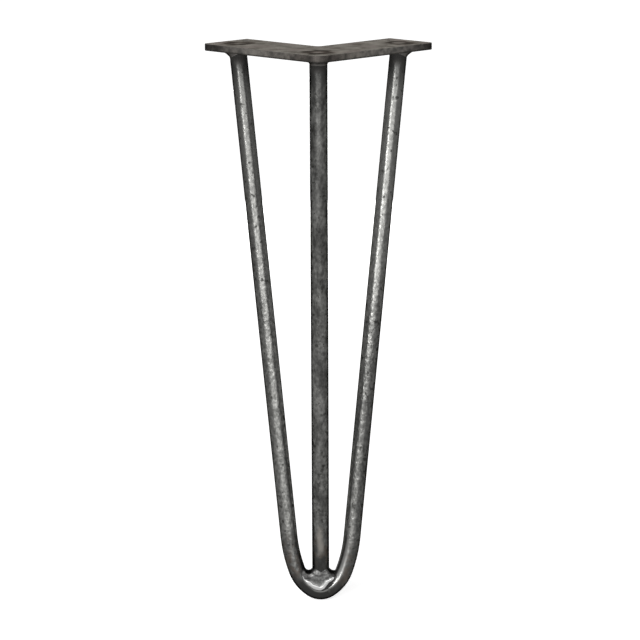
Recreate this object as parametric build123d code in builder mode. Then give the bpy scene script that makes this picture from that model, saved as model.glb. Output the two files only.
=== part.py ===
"""Hairpin table leg, welded from two round steel bars and a V-shaped plate.

The origin is on the plate's top face, where the centre lines of its two arms cross. +Z points up into the
table top, and the leg hangs down to its foot. The elbow of the V points along -Y, to the table's corner.
"""

import os
from math import asin, atan2, cos, degrees, radians, sin, sqrt

from build123d import *

# Driving dimensions, in millimetres and degrees
leg_height = 390.0  # floor to the table's underside
bar_diameter = 12.0
foot_setback = 27.0  # from the corner bar's seat back to the foot

# V plate
arm_length = 110.0  # along the outer edge, from the sharp elbow
arm_width = 40.0
plate_thickness = 5.0
elbow_radius = 9.0
crotch_radius = 3.0
arm_end_radius = 0.8
plate_edge_break = 0.4
screw_hole_diameter = 6.0
screw_hole_inset = 9.0  # from the arm's end and from its inner edge

# Seats of the bars under the plate
bar_edge_inset = 15.0  # from the outer edges
bar_end_inset = 17.5  # from the arm's end

# Bend: radii on the inside of the bar, and how far the bar turns on each, from the middle of the foot
nose_inner_radius = 5.0
nose_turn = 33.0
flank_inner_radius = 21.0
flank_turn = 37.0
easing_inner_radius = 94.0
seat_clearance = 0.2  # between the corner bar's end and each flank of the bend

# Weld beads under the plate
corner_bead_leg = 2.5  # reach along the plate and along the bar
end_bead_leg = 4.0
end_bead_lead = 2.0  # the beads at the arm ends lie to the outer side of their bars
bead_root = 0.8  # how far inside the bar a bead's neck starts

# Weld in the bend, a lens of metal with a hollow on each side of the corner bar
foot_weld_lap = 5.3  # reach past the corner bar's side
foot_weld_stand = 1.2  # how far the middle of its face stands out from the bent bar
foot_weld_rim = 0.6  # how far its rim lies behind the bent bar's front
foot_weld_rise = 3.0  # from the corner bar's end up to the middle of the lens
foot_weld_cover = 7.0  # how far it climbs the corner bar
foot_weld_shift = 1.2  # its middle lies to the left of the corner bar


def on_arm(along, across):
    """Place on the right arm, along its outer edge from the sharp elbow and across from that edge."""
    return ((along - across) / sqrt(2), (along + across - arm_width) / sqrt(2))


def turned(angle):
    """Direction from the centre of an arc of the bend to where the bar has turned by an angle."""
    return Vector(sin(radians(angle)), -cos(radians(angle)))


# Plate corners, holes and bar seats
bar_radius = bar_diameter / 2
underside = Plane.XY.offset(-plate_thickness)
elbow = on_arm(0, 0)
crotch = on_arm(arm_width, arm_width)
hole_x, hole_y = on_arm(arm_length - screw_hole_inset, arm_width - screw_hole_inset)
end_seat = Vector(*on_arm(arm_length - bar_end_inset, bar_edge_inset), -plate_thickness)
corner_seat = Vector(*on_arm(bar_edge_inset, bar_edge_inset), -plate_thickness)

# Plane of the bent bar, leaning from the foot back to the arm ends: X goes across, Y up the bar
foot = Vector(0, corner_seat.Y + foot_setback, bar_radius - leg_height)
rise = Vector(0, end_seat.Y, end_seat.Z) - foot
bend_plane = Plane(origin=foot, x_dir=(1, 0, 0), z_dir=Vector(1, 0, 0).cross(rise))

# Centre line of the bend: a tight nose, wider flanks, and an easing curve that runs into the straight legs
nose_radius = nose_inner_radius + bar_radius
flank_radius = flank_inner_radius + bar_radius
easing_radius = easing_inner_radius + bar_radius
flank_centre = Vector(0, nose_radius) + turned(nose_turn) * (nose_radius - flank_radius)
easing_centre = flank_centre + turned(nose_turn + flank_turn) * (flank_radius - easing_radius)
to_seat = Vector(end_seat.X, rise.length) - easing_centre
leg_turn = degrees(atan2(to_seat.Y, to_seat.X) + asin(easing_radius / to_seat.length))

# The corner bar goes down into the bend until its sides meet the flanks
flank_reach = bar_radius + seat_clearance - flank_centre.X
corner_bar_height = flank_centre.Y - sqrt(flank_inner_radius**2 - flank_reach**2)
corner_foot = bend_plane.from_local_coords(Vector(0, corner_bar_height))
corner_axis = corner_seat - corner_foot

# V plate with rounded corners, eased edges and a screw hole near the end of each arm
with BuildPart() as mounting_plate:
    with BuildSketch(underside) as outline:
        with BuildLine():
            Polyline(elbow, on_arm(arm_length, 0), on_arm(arm_length, arm_width), crotch)
            mirror(about=Plane.YZ)
        make_face()
        fillet(outline.vertices().filter_by(lambda corner: abs(corner.X) > crotch_radius), arm_end_radius)
        fillet(outline.vertices().sort_by(Axis.Y)[0], elbow_radius)
        fillet(outline.vertices().sort_by_distance(crotch)[0], crotch_radius)
        with Locations((hole_x, hole_y), (-hole_x, hole_y)):
            Circle(screw_hole_diameter / 2, mode=Mode.SUBTRACT)
    extrude(amount=plate_thickness)
    rims = mounting_plate.edges().group_by(Axis.Z)
    chamfer(rims[0] + rims[-1], plate_edge_break)

# Bar bent into a U, with both ends cut level under the plate
with BuildPart() as hairpin_bar:
    with BuildLine(bend_plane) as centre_line:
        nose = JernArc((0, 0), (1, 0), nose_radius, nose_turn)
        flank = JernArc(nose @ 1, nose % 1, flank_radius, flank_turn)
        easing = JernArc(flank @ 1, flank % 1, easing_radius, leg_turn - nose_turn - flank_turn)
        PolarLine(easing @ 1, to_seat.length, direction=easing % 1)
        mirror(about=Plane.YZ)
    with BuildSketch(centre_line.wire() ^ 0):
        Circle(bar_radius)
    sweep(path=centre_line.wire())
    split(bisect_by=underside, keep=Keep.BOTTOM)

# Straight bar from under the plate's elbow into the bend
with BuildPart() as corner_bar:
    with BuildSketch(Plane(origin=corner_foot, z_dir=corner_axis)):
        Circle(bar_radius)
    extrude(amount=corner_axis.length + bar_diameter)
    split(bisect_by=underside, keep=Keep.BOTTOM)

# Weld metal that fills the bend round the end of the corner bar
weld_middle = bend_plane.from_local_coords(Vector(-foot_weld_shift, corner_bar_height + foot_weld_rise))
weld_radius = bar_radius + foot_weld_lap
weld_depth = bar_radius + foot_weld_stand
rim_depth = bar_radius - foot_weld_rim
weld_section = Plane(origin=weld_middle, x_dir=bend_plane.x_dir, z_dir=-bend_plane.y_dir)
weld_top = corner_bar_height + foot_weld_cover
flank_at_top = flank_centre.X + sqrt(flank_inner_radius**2 - (flank_centre.Y - weld_top) ** 2)
hollow_radius = (flank_at_top - bar_radius) / 2
hollow_x = bar_radius + hollow_radius
level = Plane(origin=bend_plane.from_local_coords(Vector(0, weld_top)), z_dir=bend_plane.y_dir)
with BuildPart() as foot_weld:
    with BuildSketch(weld_section):
        with BuildLine():
            rim = Line((weld_radius, -rim_depth), (weld_radius, rim_depth))
            middle = Line((0, -weld_depth), (0, weld_depth))
            TangentArc(middle @ 0, rim @ 0, tangent=(1, 0))
            TangentArc(middle @ 1, rim @ 1, tangent=(1, 0))
        make_face()
    revolve(axis=Axis(weld_middle, bend_plane.z_dir))
    split(bisect_by=level, keep=Keep.BOTTOM)
    with BuildSketch(bend_plane):
        with Locations((hollow_x, weld_top), (-hollow_x, weld_top)):
            Circle(hollow_radius)
    extrude(amount=weld_depth, both=True, mode=Mode.SUBTRACT)
    add(hairpin_bar.part, mode=Mode.SUBTRACT)
    add(corner_bar.part, mode=Mode.SUBTRACT)


def plate_bead(bar, seat, axis, leg, lead):
    """Weld bead under the plate round the top of a bar, shifted along X by the lead."""
    side = Vector(1, 0, 0).cross(axis)
    section = Plane(origin=seat + Vector(lead, 0, 0), x_dir=axis.cross(side), z_dir=side)
    neck = bar_radius - bead_root - lead
    depth = leg + bead_root
    with BuildPart() as bead:
        with BuildSketch(section):
            with BuildLine():
                Polyline((neck, -depth), (0, -depth), (0, depth), (neck + 2 * depth, depth), close=True)
            make_face()
        revolve(axis=Axis(section.origin, axis))
        split(bisect_by=underside, keep=Keep.BOTTOM)
        add(bar.part, mode=Mode.SUBTRACT)
    return bead


# All the weld metal
plate_weld_corner = plate_bead(corner_bar, corner_seat, corner_axis.normalized(), corner_bead_leg, 0)
plate_weld_right = plate_bead(hairpin_bar, end_seat, easing % 1, end_bead_leg, end_bead_lead)
with BuildPart() as welds:
    add(foot_weld.part)
    add(plate_weld_corner.part)
    add(plate_weld_right.part)
    mirror(plate_weld_right.part, about=Plane.YZ)

# One file for each piece
os.makedirs("parts", exist_ok=True)
pieces = {
    "mounting_plate": mounting_plate,
    "hairpin_bar": hairpin_bar,
    "corner_bar": corner_bar,
    "welds": welds,
}
for name, piece in pieces.items():
    piece.part.label = name
    export_step(piece.part, f"parts/{name}.step")
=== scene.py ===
"""Looks of the hairpin leg: raw steel bars and plate, melted weld metal and a white studio.

All places are in metres, in the part's own frame: the origin is on the plate's top face and +Z points up.
"""

from collections import Counter
from math import radians

import bmesh
import bpy
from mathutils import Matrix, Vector, noise
from mathutils.bvhtree import BVHTree


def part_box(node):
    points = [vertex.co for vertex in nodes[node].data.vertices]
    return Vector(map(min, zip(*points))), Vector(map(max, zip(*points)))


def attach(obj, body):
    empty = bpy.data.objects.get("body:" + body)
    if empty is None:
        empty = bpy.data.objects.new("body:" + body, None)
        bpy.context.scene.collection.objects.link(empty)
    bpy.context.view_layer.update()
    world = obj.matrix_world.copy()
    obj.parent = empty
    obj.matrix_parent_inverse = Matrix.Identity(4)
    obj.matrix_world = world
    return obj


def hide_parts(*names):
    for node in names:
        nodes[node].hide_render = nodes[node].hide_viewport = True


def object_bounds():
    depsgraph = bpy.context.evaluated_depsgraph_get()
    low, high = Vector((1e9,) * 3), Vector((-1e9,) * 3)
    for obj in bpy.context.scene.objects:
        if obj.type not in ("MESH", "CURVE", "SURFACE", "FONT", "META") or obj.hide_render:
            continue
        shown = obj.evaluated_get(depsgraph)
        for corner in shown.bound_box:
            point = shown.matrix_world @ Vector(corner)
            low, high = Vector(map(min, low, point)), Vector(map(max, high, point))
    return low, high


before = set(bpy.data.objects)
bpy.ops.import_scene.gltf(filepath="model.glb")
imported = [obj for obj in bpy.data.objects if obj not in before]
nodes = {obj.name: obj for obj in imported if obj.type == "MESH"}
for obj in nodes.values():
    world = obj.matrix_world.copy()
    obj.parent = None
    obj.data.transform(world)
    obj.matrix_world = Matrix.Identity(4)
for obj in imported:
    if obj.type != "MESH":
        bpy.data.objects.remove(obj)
cad_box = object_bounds()

# Places in the frame
STEEL_NODES = ("mounting_plate", "hairpin_bar", "corner_bar")
PLATE_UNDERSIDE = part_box("mounting_plate")[0].z
PLATE_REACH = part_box("mounting_plate")[1].x
FLOOR = cad_box[0].z
BAR_SEATS = ((0.0, -0.0071, 0.0), (-0.0548, 0.0477, 0.0), (0.0548, 0.0477, 0.0))  # on the plate's top face
FOOT_WELD = Vector((-0.003, 0.0203, -0.3790))  # its middle, from where its heat has spread

# Camera, from the photograph's perspective: a long lens, a little above the plate
CAMERA_PLACE = (0.0003, -1.5283, 0.1742)
CAMERA_PITCH = 13.14  # degrees below the horizon
CAMERA_ROLL = -0.26  # degrees
CAMERA_LENS = 130.0  # millimetres

# Studio
WORLD_LIGHT = 0.35  # strength of the world as a light, while it is seen at 1, which is white
FLOOR_SIZE = 40.0
FLOOR_GLOW = 0.6  # what the floor shows beyond the light that falls on it

# Shape of the weld metal
JOIN_DISTANCE = 1e-7  # vertices nearer to each other than this are one
WELD_MARGIN = 0.003  # how much of the pieces round a weld is melted with it
WELD_VOXEL = 0.00035
WELD_ROUNDS = 110  # rounds of smoothing, which melt the corners into fillets
WELD_SMOOTHING = 0.5  # how far a round moves each point to the middle of its neighbours
WELD_SINK = 0.00008  # how far the melted skin lies under the bare steel
WELD_SLIVER = 0.00002  # faces narrower than this are left out
WELD_CREASE = 50.0  # degrees, from which an edge shows as sharp
LUMP_HEIGHT = 0.00025
LUMP_SIZE = 0.0035
FINE_LUMPS = 0.5  # height of the finer lumps among the others, as a share of theirs
FINE_LUMP_RATE = 2.3  # how many times smaller they are

# Rolled lip along the front of the foot weld, in front view from left to right
LIP_PATH = (
    Vector((-0.0145, -0.3720)),
    Vector((-0.0125, -0.3748)),
    Vector((-0.0100, -0.3755)),
    Vector((-0.0042, -0.3793)),
    Vector((-0.0005, -0.3801)),
    Vector((0.0015, -0.3796)),
    Vector((0.0045, -0.3753)),
    Vector((0.0086, -0.3728)),
)
LIP_HEIGHT = 0.0009
LIP_HALF_WIDTH = 0.0013
LIP_TAPER = 0.0005  # how much narrower that is at the right
LIP_TAPER_ENDS = (0.0, 0.005)  # along X
LIP_FADE = 0.0008  # over which it runs out to each side
LIP_BACK = (FOOT_WELD.y - 0.004, FOOT_WELD.y - 0.002)  # along Y, where it runs out
LIP_WAVE = 0.0006
LIP_WAVE_SIZE = 0.003

# Middle part of a noise, where most of its values lie
NOISE_LOW = 0.3
NOISE_HIGH = 0.7

# Heights between which the bars' finish changes
LEFT_TONE_HEIGHTS = (-0.23, -0.08)
RIGHT_TONE_HEIGHTS = (-0.26, -0.11)
WORN_HEIGHTS = (-0.17, -0.06)
ROUGHNESS_HEIGHTS = (-0.36, -0.20)
BUMP_HEIGHTS = (-0.30, -0.04)
RIGHT_BUMP_HEIGHTS = (-0.24, -0.12)
# Near the plate the bars darken for heat and with painted shade under the plate
DARK_END_HEIGHTS = (PLATE_UNDERSIDE - 0.035, PLATE_UNDERSIDE - 0.004)
BURNT_AND_SHADED_END_HEIGHTS = (PLATE_UNDERSIDE - 0.012, PLATE_UNDERSIDE - 0.004)

# Places across the bars, along X
LEFT_TO_RIGHT = (-0.01, 0.01)
RIGHT_LEG_START = (0.01, 0.03)
RIGHT_FLANK_START = (0.005, 0.009)
# The tan streak is heat tint and a painted highlight, held to the middle of the bar
TAN_HIGHLIGHT_EDGE = (0.0004, 0.0032)  # to each side of the middle

# Distances from the foot weld between which the marks of its heat change, with the painted highlight in the
# tan streak and the painted glint near it
SMOOTH_REACH = (0.013, 0.019)
DARK_REACH = (0.014, 0.025)
PAINTED_GLINT_REACH = (0.014, 0.030)
BROWN_REACH = (0.020, 0.050)
FLANK_REACH = (0.032, 0.050)
HAZE_REACH = (0.036, 0.050)
TAN_HIGHLIGHT_START = (0.021, 0.027)
TAN_HIGHLIGHT_END = (0.039, 0.049)

# Tones of the bars, as shares of the tone that each bar is given
SCALE_DARK = (0.66, 0.66, 0.63)
SCALE_MIDDLE = (1.00, 1.00, 0.96)
SCALE_BRIGHT = (1.42, 1.41, 1.35)
# These two darken for heat, and near the plate they also give painted shade
SCALE_HEATED_AND_SHADED = (0.33, 0.33, 0.32)
SCALE_BURNT_AND_SHADED = (0.36, 0.35, 0.335)
RIGHT_LEG_TONES = (0.72, 1.08)  # low and high on the right leg

# Roughness and bumps of the bars
SCALE_ROUGHNESS = (0.35, 0.26)  # in the dark and in the bright mottles
LOW_ROUGHNESS = 0.09  # added near the foot
SMOOTH_ROUGHNESS = 0.17
FLANK_ROUGHNESS = 0.30
PIT_ROUGHNESS = 0.5
BURNT_ROUGHNESS = 0.8
BUMP_DEPTH = 0.0004
BUMP_STRENGTHS = (0.85, 0.28)  # low and high on a bar
RIGHT_LEG_BUMPS = (0.5, -0.08)  # added low and high on the right leg
SMOOTH_BUMPS = 0.1

# Places on the plate and the welds
MARK_INSIDE = (0.0022, 0.0072)  # distances from a bar's seat, where a heat mark sets in
MARK_OUTSIDE = (0.0080, 0.0130)  # and where it fades
BORDER_HEIGHTS = (PLATE_UNDERSIDE + 0.0007, PLATE_UNDERSIDE + 0.0014)
# Where the foot weld is darkened with painted shade, at its sides and its top
WELD_SIDES = (0.0062, 0.0085)  # along X, to each side of the middle
WELD_TOP_HEIGHTS = (FOOT_WELD.z + 0.004, FOOT_WELD.z + 0.0085)
BEAD_HEIGHTS = (PLATE_UNDERSIDE - 0.05, PLATE_UNDERSIDE - 0.02)

# Colours of metal
PIT_BLACK = (0.012, 0.012, 0.011, 1.0)
HEAT_BROWN = (0.052, 0.044, 0.038, 1.0)
# Tan heat tint that also serves as a painted highlight down the middle of the corner bar
HEAT_TAN_AND_HIGHLIGHT = (0.165, 0.156, 0.143, 1.0)
# Painted glint: bright steel colour on the inner side of the bend's right flank
PAINTED_GLINT = (0.20, 0.20, 0.196, 1.0)
PLATE_PINK = (0.176, 0.156, 0.146, 1.0)
PLATE_HEAT_MARK = (0.046, 0.039, 0.034, 1.0)
PLATE_BORDER = (0.018, 0.017, 0.016, 1.0)
# Painted shade at the foot weld's sides and top, and the dark metal under its lip
WELD_DARK = (0.030, 0.0295, 0.029, 1.0)
# Painted highlight on the foot weld's raised lip
WELD_LIP_HIGHLIGHT = (0.36, 0.36, 0.356, 1.0)
WELD_BEAD = (0.058, 0.055, 0.052, 1.0)
GLANCE = (0.12, 0.12, 0.12, 1.0)  # at glancing angles, low enough that edges don't glow
FACE_GLANCE = (2.8, 2.85, 2.9, 1.0)  # on the plate's top, times its colour


def smooth_step(value, low, high):
    """0 up to low, 1 from high, and a smooth climb between them."""
    share = min(1.0, max(0.0, (value - low) / (high - low)))
    return share * share * (3 - 2 * share)


class Nodes:
    """A node tree, with short calls that add a node and return its output."""

    def __init__(self, tree):
        self.tree = tree
        tree.nodes.clear()

    def add(self, kind, inputs=None, **settings):
        """The node itself, with each input set to a value or linked to another node's output."""
        made = self.tree.nodes.new(kind)
        for name, value in settings.items():
            setattr(made, name, value)
        for name, value in (inputs or {}).items():
            if isinstance(value, bpy.types.NodeSocket):
                self.tree.links.new(value, made.inputs[name])
            else:
                made.inputs[name].default_value = value
        return made

    def math(self, operation, first, second=0.0):
        """What an operation makes of one or two values."""
        return self.add("ShaderNodeMath", {0: first, 1: second}, operation=operation).outputs[0]

    def product(self, first, *others):
        """All the values multiplied."""
        for other in others:
            first = self.math("MULTIPLY", first, other)
        return first

    def largest(self, first, *others):
        """The largest of the values."""
        for other in others:
            first = self.math("MAXIMUM", first, other)
        return first

    def spread(self, value, low, high, start=0.0, end=1.0):
        """Value from low to high becomes start to end, smoothly and held at both ends."""
        inputs = {"Value": value, 1: low, 2: high, 3: start, 4: end}
        return self.add("ShaderNodeMapRange", inputs, interpolation_type="SMOOTHSTEP").outputs[0]

    def fade(self, value, low, high, start=1.0):
        """Start up to low, 0 from high, and a smooth fall between them."""
        return self.spread(value, low, high, start, 0.0)

    def blend(self, share, below, above):
        """Value that goes from below to above as the share goes from 0 to 1."""
        return self.add("ShaderNodeMix", {0: share, 2: below, 3: above}).outputs[0]

    def tint(self, share, below, above, blend="MIX"):
        """Colour that goes from below to above as the share goes from 0 to 1."""
        inputs = {0: share, 6: below, 7: above}
        return self.add("ShaderNodeMix", inputs, data_type="RGBA", blend_type=blend).outputs[2]

    def shade(self, colour, factor):
        """Colour multiplied by a factor or by another colour."""
        return self.tint(1.0, colour, factor, "MULTIPLY")

    def seen(self):
        """1 for what the camera sees, straight or in metal or glass, and 0 for light that falls on things."""
        path = self.add("ShaderNodeLightPath").outputs
        return self.largest(path["Is Camera Ray"], path["Is Glossy Ray"], path["Is Transmission Ray"])


class Finish(Nodes):
    """A node material whose marks are placed in the part's frame."""

    def __init__(self, name):
        self.material = bpy.data.materials.new(name)
        self.material.use_nodes = True
        super().__init__(self.material.node_tree)
        coordinates = self.add("ShaderNodeTexCoord")
        self.place = coordinates.outputs["Object"]
        self.x, _, self.z = self.add("ShaderNodeSeparateXYZ", {0: self.place}).outputs
        facing = self.add("ShaderNodeSeparateXYZ", {0: coordinates.outputs["Normal"]}).outputs
        self.sideways = facing["X"]
        self.upward = facing["Z"]

    def grain(self, size, detail=2.0, stretch=(1, 1, 1), roughness=0.5):
        """Noise from 0 to 1 with marks of about that size, drawn out by the stretch."""
        scale = tuple(1 / (size * share) for share in stretch)
        vector = self.add("ShaderNodeMapping", {"Vector": self.place, "Scale": scale}).outputs[0]
        inputs = {"Vector": vector, "Scale": 1.0, "Detail": detail, "Roughness": roughness}
        return self.add("ShaderNodeTexNoise", inputs).outputs["Fac"]

    def vary(self, grain, start, end):
        """Value that varies from start to end with a grain."""
        return self.spread(grain, NOISE_LOW, NOISE_HIGH, start, end)

    def away(self, point):
        """Distance from a point."""
        inputs = {0: self.place, 1: point}
        return self.add("ShaderNodeVectorMath", inputs, operation="DISTANCE").outputs["Value"]

    def ramp(self, value, stops):
        """Colour of a value, from stops of a value and its colour."""
        made = self.add("ShaderNodeValToRGB", {"Fac": value})
        elements = made.color_ramp.elements
        while len(elements) < len(stops):
            elements.new(1.0)
        for element, (position, colour) in zip(elements, stops):
            element.position = position
            element.color = (*colour, 1.0)
        return made.outputs["Color"]

    def bump(self, height, depth, strength):
        """Directions of a surface whose heights go from 0 to the depth."""
        inputs = {"Height": height, "Distance": depth, "Strength": strength}
        return self.add("ShaderNodeBump", inputs).outputs["Normal"]

    def steel(self, colour, roughness, normal, glance=GLANCE):
        """The finished material, a metal."""
        inputs = {
            "Base Color": colour,
            "Roughness": roughness,
            "Normal": normal,
            "Metallic": 1.0,
            "Specular Tint": glance,
        }
        shader = self.add("ShaderNodeBsdfPrincipled", inputs)
        self.add("ShaderNodeOutputMaterial", {"Surface": shader.outputs[0]})
        return self.material


def add_object(name, data):
    """New object in the scene."""
    made = bpy.data.objects.new(name, data)
    bpy.context.scene.collection.objects.link(made)
    return made


def editable(mesh):
    """Copy of a mesh that can be edited."""
    form = bmesh.new()
    form.from_mesh(mesh)
    return form


def store(form, mesh):
    """Put what was edited into a mesh, and end the editing."""
    form.to_mesh(mesh)
    form.free()


def joined(mesh):
    """Editable copy of a mesh, with the vertices joined along its sharp edges."""
    form = editable(mesh)
    bmesh.ops.remove_doubles(form, verts=form.verts, dist=JOIN_DISTANCE)
    return form


def solid_parts(form):
    """Vertices of each separate part of a mesh."""
    left = set(form.verts)
    parts = []
    while left:
        found = {left.pop()}
        edge_of_search = set(found)
        while edge_of_search:
            near = {edge.other_vert(vert) for vert in edge_of_search for edge in vert.link_edges}
            edge_of_search = near - found
            found |= edge_of_search
        left -= found
        parts.append(found)
    return parts


def boxes(mesh):
    """Lowest and highest corner of each separate part of a mesh."""
    form = joined(mesh)
    corners = []
    for part in solid_parts(form):
        low = Vector(min(vert.co[axis] for vert in part) for axis in range(3))
        high = Vector(max(vert.co[axis] for vert in part) for axis in range(3))
        corners.append((low, high))
    form.free()
    return corners


def cut_out(mesh, low, high):
    """Closed copy of the part of a mesh that lies in a box."""
    form = joined(mesh)
    for axis in range(3):
        for corner, outward in ((low, -1), (high, 1)):
            normal = Vector((0, 0, 0))
            normal[axis] = outward
            whole = form.verts[:] + form.edges[:] + form.faces[:]
            bmesh.ops.bisect_plane(form, geom=whole, plane_co=corner, plane_no=normal, clear_outer=True)
            bmesh.ops.holes_fill(form, edges=[edge for edge in form.edges if edge.is_boundary])
    return form


def apply_modifiers(piece):
    """Give a piece the mesh that its modifiers make, and take them off it."""
    before = piece.data
    evaluated = piece.evaluated_get(bpy.context.evaluated_depsgraph_get())
    piece.data = bpy.data.meshes.new_from_object(evaluated)
    piece.modifiers.clear()
    bpy.data.meshes.remove(before)


def melted(name, low, high):
    """Object made of all the pieces in a box, fused and smoothed."""
    together = bmesh.new()
    for node in nodes.values():
        copy = bpy.data.meshes.new("cut")
        store(cut_out(node.data, low, high), copy)
        together.from_mesh(copy)
        bpy.data.meshes.remove(copy)
    piece = add_object(name, bpy.data.meshes.new("rough"))
    store(together, piece.data)
    fuse = piece.modifiers.new("fuse", "REMESH")
    fuse.mode = "VOXEL"
    fuse.voxel_size = WELD_VOXEL
    melt = piece.modifiers.new("melt", "SMOOTH")
    melt.iterations = WELD_ROUNDS
    melt.factor = WELD_SMOOTHING
    apply_modifiers(piece)
    return piece


def height_over_steel(trees, point):
    """Distance from a point to the nearest bar or plate, negative inside it."""
    heights = []
    for tree in trees:
        spot, normal, _, distance = tree.find_nearest(point)
        outside = (point - spot).dot(normal) >= 0
        heights.append(distance if outside else -distance)
    return min(heights)


def height_over_lip(place):
    """Distance from the lip's line in front view, negative under it."""
    spot = place.xz
    distances = []
    for start, end in zip(LIP_PATH, LIP_PATH[1:]):
        run = end - start
        share = min(1.0, max(0.0, (spot - start).dot(run) / run.length_squared))
        gap = spot - start - run * share
        distances.append(gap.length if run.cross(gap) >= 0 else -gap.length)
    return min(distances, key=abs) + LIP_WAVE * noise.noise(place / LIP_WAVE_SIZE)


def lip_shares(place):
    """How far a place is part of the lip, which is raised and painted bright as a highlight, and how far it
    lies in the dark metal under the lip.
    """
    over = height_over_lip(place)
    in_front = 1 - smooth_step(place.y, *LIP_BACK)
    half_width = LIP_HALF_WIDTH - LIP_TAPER * smooth_step(place.x, *LIP_TAPER_ENDS)
    lip = 1 - smooth_step(abs(over), half_width, half_width + LIP_FADE)
    under = 1 - smooth_step(over, -half_width - LIP_FADE, -half_width)
    return in_front * lip, in_front * under


def lumps(place):
    """Height of the lumps at a place, as a share of their usual height."""
    spot = place / LUMP_SIZE
    return noise.noise(spot) + FINE_LUMPS * noise.noise(spot * FINE_LUMP_RATE)


def swell(mesh, trees):
    """Raise lumps and the lip on the skin of melted metal, where it is clear of the steel."""
    form = editable(mesh)
    form.normal_update()
    moved = []
    for vert in form.verts:
        place = vert.co - vert.normal * WELD_SINK
        swelling = LUMP_HEIGHT * lumps(place) + LIP_HEIGHT * lip_shares(place)[0]
        clear = min(1.0, max(0.0, height_over_steel(trees, place) / LUMP_HEIGHT))
        moved.append(place + vert.normal * swelling * clear)
    for vert, place in zip(form.verts, moved):
        vert.co = place
    store(form, mesh)


def cut_by(piece, cutters):
    """Take the bars and the plate out of a piece, and drop slivers and all but its largest part."""
    for cutter in cutters:
        cut = piece.modifiers.new("cut", "BOOLEAN")
        cut.operation = "DIFFERENCE"
        cut.solver = "MANIFOLD"
        cut.object = cutter
    apply_modifiers(piece)
    form = editable(piece.data)
    largest = max(solid_parts(form), key=len)
    bmesh.ops.delete(form, geom=[vert for vert in form.verts if vert not in largest], context="VERTS")
    bmesh.ops.dissolve_degenerate(form, dist=WELD_SLIVER, edges=form.edges)
    bmesh.ops.triangulate(form, faces=form.faces)
    counts = Counter(frozenset(face.verts) for face in form.faces)
    folded = [face for face in form.faces if counts[frozenset(face.verts)] > 1]
    bmesh.ops.delete(form, geom=folded, context="FACES")
    store(form, piece.data)
    piece.data.materials.clear()


def weld(name, low, high, trees, cutters):
    """Weld metal at one joint: a lumpy fillet that fits the bars and the plate.

    Two attributes say where it is the lip, painted bright as a highlight, and where it is dark metal under
    the lip.
    """
    margin = Vector((WELD_MARGIN,) * 3)
    piece = melted(name, low - margin, high + margin)
    swell(piece.data, trees)
    cut_by(piece, cutters)
    mesh = piece.data
    mesh.name = name
    shares = [lip_shares(vert.co) for vert in mesh.vertices]
    for title, values in zip(("lip", "under_lip"), zip(*shares)):
        mesh.attributes.new(title, "FLOAT", "POINT").data.foreach_set("value", values)
    mesh.shade_smooth()
    mesh.set_sharp_from_angle(angle=radians(WELD_CREASE))
    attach(piece, "root")
    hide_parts("welds")
    return piece


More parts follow.
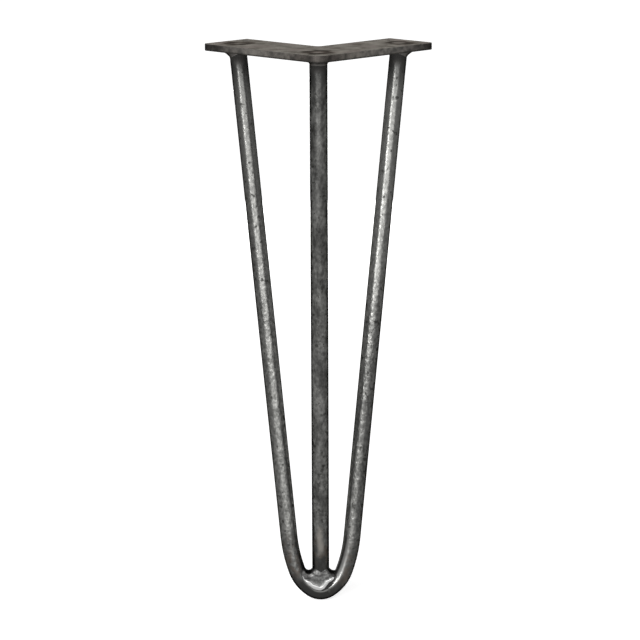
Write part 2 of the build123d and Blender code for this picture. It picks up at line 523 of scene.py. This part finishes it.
class BarFinish(Finish):
    """Dark mill scale in mottles, pitted and bumpy so that the light breaks up, with the welds' heat marks.

    The tone is how bright the bar is low down, and the top tone how bright it is near its top. The bent bar's
    right leg has shares of the tone instead. Clouds are how strong the large mottles are, and the gloss makes
    the bar smoother. The sheen and wear is how far its inner sides get a painted sheen and its outer sides
    painted shade, and how far its top is worn to one colour. The heat marks also carry painted light: a
    painted highlight in the tan streak, a painted glint on the bend's right flank and painted shade under the
    plate.
    """

    def __init__(self, name, tone, top_tone, clouds, gloss, sheen_and_wear):
        super().__init__(name)
        self.tone = tone
        self.top_tone = top_tone
        self.clouds = clouds
        self.gloss = gloss
        self.sheen_and_wear = sheen_and_wear
        self.fine = self.grain(0.0019, stretch=(1, 1, 1.4))
        self.patch = self.grain(0.008, detail=3.0, stretch=(1, 1, 2.5), roughness=0.6)
        self.pits = self.fade(self.grain(0.0034, detail=1.0), 0.29, 0.35)
        self.right = self.spread(self.x, *RIGHT_LEG_START)
        self.inward = self.product(self.sideways, self.spread(self.x, *LEFT_TO_RIGHT, 1.0, -1.0))
        self.from_weld = self.math("ADD", self.away(FOOT_WELD), self.vary(self.patch, -0.004, 0.004))
        self.flank = self.flank_share()
        self.painted_glint = self.painted_glint_share()
        self.tan_and_highlight = self.tan_and_highlight_share()
        self.burnt_and_shaded = self.spread(self.z, *BURNT_AND_SHADED_END_HEIGHTS)

    def toned(self, shares):
        """Colour made of shares of the bar's tone."""
        return (*(share * self.tone for share in shares), 1.0)

    def flank_share(self):
        """1 on the bend's right flank near the foot weld, and 0 beyond it."""
        near = self.fade(self.from_weld, *FLANK_REACH)
        return self.product(near, self.spread(self.x, *RIGHT_FLANK_START))

    def painted_glint_share(self):
        """Share of a painted glint: bright steel colour on the inner side of that flank, where a glint falls.
        """
        inner = self.spread(self.inward, 0.05, 0.35)
        return self.product(self.flank, inner, self.spread(self.from_weld, *PAINTED_GLINT_REACH, 1.0, 0.4))

    def tan_and_highlight_share(self):
        """Share of the tan heat colour and a painted highlight, in a streak up the middle of the bar from the
        foot weld.
        """
        off_axis = self.math("ADD", self.x, self.vary(self.patch, -0.0002, 0.0015))
        streak = self.fade(self.math("ABSOLUTE", off_axis), *TAN_HIGHLIGHT_EDGE)
        streak = self.product(streak, self.spread(self.from_weld, *TAN_HIGHLIGHT_START))
        return self.product(streak, self.fade(self.from_weld, *TAN_HIGHLIGHT_END))

    def scale_colour(self):
        """Colour of the mill scale before any heat."""
        mottles = self.blend(0.3, self.fine, self.patch)
        scale = self.ramp(mottles, ((0.38, SCALE_DARK), (0.50, SCALE_MIDDLE), (0.62, SCALE_BRIGHT)))
        large = self.grain(0.006, detail=3.0, stretch=(1, 1, 2.2), roughness=0.6)
        scale = self.shade(scale, self.spread(large, 0.35, 0.65, 1 - self.clouds, 1 + self.clouds))
        # Painted sheen on the sides that face the middle of the leg, and painted shade on the sides that face
        # out
        scale = self.shade(scale, self.spread(self.inward, -0.4, 0.4, 1 - self.sheen_and_wear / 2, 1 + self.sheen_and_wear))
        worn = self.spread(self.z, *WORN_HEIGHTS, 0.0, 2 * self.sheen_and_wear)
        scale = self.tint(worn, scale, (*SCALE_MIDDLE, 1.0))
        left_tone = self.spread(self.z, *LEFT_TONE_HEIGHTS, self.tone, self.top_tone)
        right_tones = (share * self.tone for share in RIGHT_LEG_TONES)
        right_tone = self.spread(self.z, *RIGHT_TONE_HEIGHTS, *right_tones)
        scale = self.shade(scale, self.blend(self.right, left_tone, right_tone))
        return self.tint(self.product(self.pits, 0.7), scale, PIT_BLACK)

    def heated_and_painted_light(self, colour):
        """Colour after heat, with painted light: haze, brown spots, a tan streak with a painted highlight,
        dark and burnt ends with painted shade under the plate, and a painted glint.
        """
        dark = self.toned(SCALE_HEATED_AND_SHADED)
        colour = self.tint(self.fade(self.from_weld, *HAZE_REACH, start=0.4), colour, dark)
        spots = self.spread(self.grain(0.004, detail=3.0), 0.44, 0.58)
        not_painted_glint = self.spread(self.painted_glint, 0.0, 1.0, 1.0, 0.2)
        brown = self.product(self.fade(self.from_weld, *BROWN_REACH, start=0.8), spots, not_painted_glint)
        colour = self.tint(brown, colour, HEAT_BROWN)
        # Tan heat colour with a painted highlight down the middle of the bar
        colour = self.tint(self.tan_and_highlight, colour, HEAT_TAN_AND_HIGHLIGHT)
        # Painted shade under the plate, with heat darkening there and near the foot weld, then burnt scale
        # and painted shade right under the plate
        at_plate = self.spread(self.z, *DARK_END_HEIGHTS)
        at_weld = self.fade(self.from_weld, *DARK_REACH)
        colour = self.tint(self.largest(at_plate, at_weld), colour, dark)
        colour = self.tint(self.burnt_and_shaded, colour, self.toned(SCALE_BURNT_AND_SHADED))
        # Painted glint on the inner side of the bend's right flank
        return self.tint(self.painted_glint, colour, PAINTED_GLINT)

    def roughness(self, smooth):
        """Roughness, less where heat has smoothed the bar, and more in pits and at the burnt ends under the
        plate, whose colour is partly painted shade.
        """
        mottled = self.vary(self.fine, *(rough - self.gloss for rough in SCALE_ROUGHNESS))
        scale = self.math("ADD", mottled, self.fade(self.z, *ROUGHNESS_HEIGHTS, start=LOW_ROUGHNESS))
        smoothed = self.spread(self.flank, 0.0, 1.0, SMOOTH_ROUGHNESS, FLANK_ROUGHNESS)
        pitted = self.blend(self.pits, self.blend(smooth, scale, smoothed), PIT_ROUGHNESS)
        return self.blend(self.burnt_and_shaded, pitted, BURNT_ROUGHNESS)

    def bumps(self, smooth):
        """Bumps of the mill scale, which are low where heat has smoothed the bar."""
        at_right = self.product(self.right, self.spread(self.z, *RIGHT_BUMP_HEIGHTS, *RIGHT_LEG_BUMPS))
        strength = self.math("ADD", self.spread(self.z, *BUMP_HEIGHTS, *BUMP_STRENGTHS), at_right)
        height = self.grain(0.0021, stretch=(1, 1, 1.4))
        return self.bump(height, BUMP_DEPTH, self.blend(smooth, strength, SMOOTH_BUMPS))

    def made(self):
        """The finished material."""
        smooth = self.largest(self.tan_and_highlight, self.fade(self.from_weld, *SMOOTH_REACH), self.flank)
        return self.steel(self.heated_and_painted_light(self.scale_colour()), self.roughness(smooth), self.bumps(smooth))


def heat_mark(finish, seat, wobble):
    """Share of darkening, 0 to 1, in a ragged ring that a weld's heat has drawn over a bar's seat."""
    reach = finish.math("ADD", finish.away(seat), wobble)
    return finish.product(finish.spread(reach, *MARK_INSIDE), finish.fade(reach, *MARK_OUTSIDE))


def plate_face(finish, patch):
    """Colour of the plate's top: grey-brown scale in soft patches, with heat marks over the bars."""
    face = finish.ramp(patch, (
        (0.34, (0.115, 0.107, 0.096)),
        (0.50, (0.170, 0.160, 0.146)),
        (0.66, (0.208, 0.196, 0.178)),
    ))
    face = finish.tint(finish.spread(finish.grain(0.016), 0.5, 0.62, 0.0, 0.6), face, PLATE_PINK)
    wobble = finish.vary(finish.grain(0.013), -0.0022, 0.0022)
    strength = finish.spread(patch, 0.35, 0.65, 1.0, 0.55)
    for seat in BAR_SEATS:
        mark = finish.product(heat_mark(finish, seat, wobble), strength)
        face = finish.tint(mark, face, PLATE_HEAT_MARK)
    return face


def plate_edge(finish):
    """Colour of the plate's cut edges: darker at the elbow and the arm ends, with a dark lower border."""
    along = finish.math("DIVIDE", finish.math("ABSOLUTE", finish.x), PLATE_REACH)
    edge = finish.ramp(along, (
        (0.00, (0.028, 0.026, 0.024)),
        (0.14, (0.060, 0.055, 0.051)),
        (0.30, (0.100, 0.094, 0.087)),
        (0.62, (0.112, 0.107, 0.100)),
        (0.80, (0.078, 0.074, 0.070)),
        (0.92, (0.042, 0.040, 0.038)),
        (1.00, (0.020, 0.019, 0.018)),
    ))
    mottle = finish.ramp(finish.grain(0.0045, detail=3.0), (
        (0.35, (0.60, 0.60, 0.60)),
        (0.65, (1.30, 1.27, 1.25)),
    ))
    border = finish.fade(finish.z, *BORDER_HEIGHTS, start=0.6)
    return finish.tint(border, finish.shade(edge, mottle), PLATE_BORDER)


def plate_finish():
    """Soft scale on the plate's top face, brighter at glancing angles, and darker edges and underside."""
    finish = Finish("plate_steel")
    patch = finish.grain(0.011, detail=4.0, roughness=0.6)
    face = plate_face(finish, patch)
    on_face = finish.spread(finish.upward, 0.3, 0.7)
    colour = finish.tint(on_face, plate_edge(finish), face)
    glance = finish.tint(on_face, GLANCE, finish.shade(face, FACE_GLANCE))
    roughness = finish.vary(patch, 0.58, 0.44)
    bumps = finish.bump(finish.grain(0.0012, detail=3.0), depth=0.0001, strength=0.5)
    return finish.steel(colour, roughness, bumps, glance)


def weld_finish():
    """Grey weld metal with a painted highlight on the foot weld's raised lip, dark metal under the lip,
    painted shade at the foot weld's sides and top where it meets the bars, and darker beads under the plate.
    """
    finish = Finish("weld_metal")
    lip = finish.add("ShaderNodeAttribute", attribute_name="lip").outputs["Fac"]
    under_lip = finish.add("ShaderNodeAttribute", attribute_name="under_lip").outputs["Fac"]
    patch = finish.grain(0.0028, detail=3.0, roughness=0.6)
    colour = finish.ramp(patch, (
        (0.38, (0.050, 0.050, 0.049)),
        (0.62, (0.150, 0.151, 0.148)),
    ))
    off_axis = finish.math("ADD", finish.math("ABSOLUTE", finish.x), finish.vary(patch, -0.0009, 0.0009))
    # Painted shade at the foot weld's sides and top, where it meets the bars
    colour = finish.tint(finish.spread(off_axis, *WELD_SIDES), colour, WELD_DARK)
    colour = finish.tint(finish.spread(finish.z, *WELD_TOP_HEIGHTS, 0.0, 0.6), colour, WELD_DARK)
    colour = finish.tint(under_lip, colour, WELD_DARK)
    # Painted highlight on the raised lip
    colour = finish.tint(lip, colour, WELD_LIP_HIGHLIGHT)
    colour = finish.tint(finish.spread(finish.z, *BEAD_HEIGHTS), colour, WELD_BEAD)
    roughness = finish.blend(under_lip, finish.spread(patch, 0.35, 0.65, 0.42, 0.30), 0.2)
    bumps = finish.bump(finish.grain(0.0008), depth=0.0001, strength=0.3)
    return finish.steel(colour, roughness, bumps)


def white_world():
    """World that looks white and lights the part softly."""
    world = bpy.data.worlds.new("studio")
    world.use_nodes = True
    tree = Nodes(world.node_tree)
    strength = tree.spread(tree.seen(), 0.0, 1.0, WORLD_LIGHT, 1.0)
    background = tree.add("ShaderNodeBackground", {"Color": (1, 1, 1, 1), "Strength": strength})
    tree.add("ShaderNodeOutputWorld", {"Surface": background.outputs[0]})
    bpy.context.scene.world = world


def white_floor():
    """Wide floor that shows white from above, keeps the shadow, and lets views from below through."""
    bpy.ops.mesh.primitive_plane_add(size=FLOOR_SIZE, location=(0, 0, FLOOR))
    floor = bpy.context.object
    floor.name = "floor"
    finish = Finish("floor_white")
    paint = finish.add("ShaderNodeBsdfPrincipled", {
        "Base Color": (0.8, 0.8, 0.8, 1),
        "Roughness": 1.0,
        "Specular IOR Level": 0.0,
        "Emission Color": (1, 1, 1, 1),
        "Emission Strength": finish.spread(finish.seen(), 0.0, 1.0, 0.0, FLOOR_GLOW),
    })
    nothing = finish.add("ShaderNodeBsdfTransparent")
    from_below = finish.add("ShaderNodeNewGeometry").outputs["Backfacing"]
    sided = finish.add("ShaderNodeMixShader", {0: from_below, 1: paint.outputs[0], 2: nothing.outputs[0]})
    finish.add("ShaderNodeOutputMaterial", {"Surface": sided.outputs[0]})
    floor.data.materials.append(finish.material)


def sun(name, energy, softness, tilt, turn):
    """Distant lamp, tilted from straight down and turned about Z, in degrees."""
    lamp = add_object(name, bpy.data.lights.new(name, "SUN"))
    lamp.data.energy = energy
    lamp.data.angle = radians(softness)
    lamp.rotation_euler = (radians(tilt), 0, radians(turn))


def panel(name, width, height, energy, place, turn=0, lean=0):
    """Upright area lamp, which faces +Y when its turn is 0 and can lean to one side."""
    lamp = add_object(name, bpy.data.lights.new(name, "AREA"))
    lamp.data.shape = "RECTANGLE"
    lamp.data.size = width
    lamp.data.size_y = height
    lamp.data.energy = energy
    lamp.location = place
    lamp.rotation_euler = (radians(90), 0, radians(turn))
    lamp.rotation_euler.rotate_axis("Z", radians(lean))
    lamp.visible_camera = False


def lamps():
    """A soft key light from the upper left, and panels in front and behind that draw the bars' streaks."""
    sun("key", energy=1.6, softness=22, tilt=58, turn=-35)
    panel("front_panel", width=2.0, height=0.48, energy=19.0, place=(0, -1.62, -0.12))
    panel("front_strip", width=0.4, height=0.48, energy=8.0, place=(-0.15, -1.62, -0.12))
    panel("left_strip", width=0.15, height=0.42, energy=7.5, place=(-0.67, -1.45, 0.01), turn=-25, lean=-40)
    panel("back_panel", width=2.0, height=0.32, energy=12.0, place=(0, 1.62, -0.21), turn=180)


def camera():
    """Camera in front of the part, which looks along +Y and down."""
    made = add_object("camera", bpy.data.cameras.new("camera"))
    made.data.lens = CAMERA_LENS
    made.location = CAMERA_PLACE
    made.rotation_euler = (radians(90 - CAMERA_PITCH), 0, 0)
    made.rotation_euler.rotate_axis("Z", radians(CAMERA_ROLL))
    bpy.context.scene.camera = made


def steel_copies():
    """Search trees of the bars and the plate, and copies of them that can cut other pieces."""
    trees = []
    cutters = []
    for name in STEEL_NODES:
        form = joined(nodes[name].data)
        trees.append(BVHTree.FromBMesh(form))
        cutter = add_object("cutter", bpy.data.meshes.new("cutter"))
        store(form, cutter.data)
        cutters.append(cutter)
    return trees, cutters


def weld_boxes():
    """Name and box of each weld."""
    left, *middle, right = sorted(boxes(nodes["welds"].data), key=lambda box: box[0].x)
    foot, corner = sorted(middle, key=lambda box: box[0].z)
    return {"weld_left": left, "weld_right": right, "weld_corner": corner, "weld_foot": foot}


def add_welds():
    """All the weld metal, in place of its solids."""
    trees, cutters = steel_copies()
    metal = weld_finish()
    for name, (low, high) in weld_boxes().items():
        weld(name, low, high, trees, cutters).data.materials.append(metal)
    for cutter in cutters:
        bpy.data.objects.remove(cutter)


def finish_steel():
    """New materials on the plate and the bars."""
    hairpin = BarFinish("hairpin_steel", tone=0.082, top_tone=0.071, clouds=0.0, gloss=0.0, sheen_and_wear=0.28)
    corner = BarFinish("corner_bar_steel", tone=0.070, top_tone=0.054, clouds=0.40, gloss=0.10, sheen_and_wear=0.0)
    finishes = {
        "mounting_plate": plate_finish(),
        "hairpin_bar": hairpin.made(),
        "corner_bar": corner.made(),
    }
    for name, material in finishes.items():
        nodes[name].data.materials.clear()
        nodes[name].data.materials.append(material)


add_welds()
finish_steel()
bpy.context.scene.view_settings.view_transform = "Standard"
white_world()
white_floor()
lamps()
camera()
